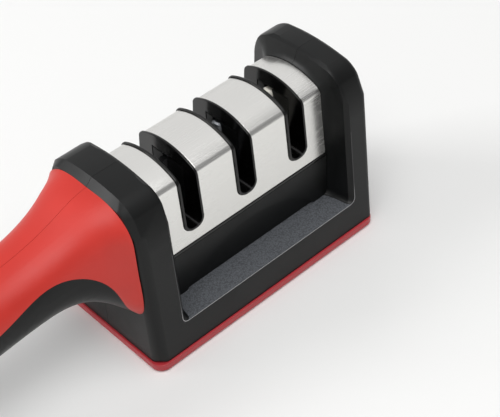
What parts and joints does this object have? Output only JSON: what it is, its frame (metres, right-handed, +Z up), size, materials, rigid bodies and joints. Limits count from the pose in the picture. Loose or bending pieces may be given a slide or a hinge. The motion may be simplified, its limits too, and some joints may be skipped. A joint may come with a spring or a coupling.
{
  "type": "pull through knife sharpener",
  "caption": "Hand-held pull through knife sharpener: a black body with slots under a bent steel cover, a soft red handle grip and a red non-slip base.",
  "frame": {"origin": "on the table under the middle slot, in the middle of the base's underside", "axes": "+X from the handle to the free end of the body, +Y from the front to the rear along the slots, +Z up"},
  "size_m": [0.199, 0.0534, 0.0672],
  "materials": {
    "black_body": "satin, finely grained on the ledges",
    "black_frame": "gloss lips",
    "black_holder": "matt",
    "red_grip": "soft touch",
    "red_pad": "soft, matt",
    "steel": "satin",
    "carbide": "ground",
    "diamond": "coated with fine grit",
    "white_ceramic": "fired, unglazed",
    "screw_steel": "zinc plated"
  },
  "bodies": {
    "sharpener": {"front_shell": "black_body", "rear_shell": "black_body", "front_grip": "red_grip", "rear_grip": "red_grip", "slot_cover": "steel", "guide_frame": "black_frame", "coarse_holder": "black_holder", "medium_holder": "black_holder", "fine_holder": "black_holder", "coarse_blade_left": "carbide", "coarse_blade_right": "carbide", "blade_screws": "screw_steel", "medium_rod_left": "diamond", "medium_rod_right": "diamond", "fine_rod_left": "white_ceramic", "fine_rod_right": "white_ceramic", "stage_retainer": "black_holder", "retainer_screws": "screw_steel", "base_plate": "black_body", "base_screws": "screw_steel", "base_pad": "red_pad"}
  },
  "joints": []
}
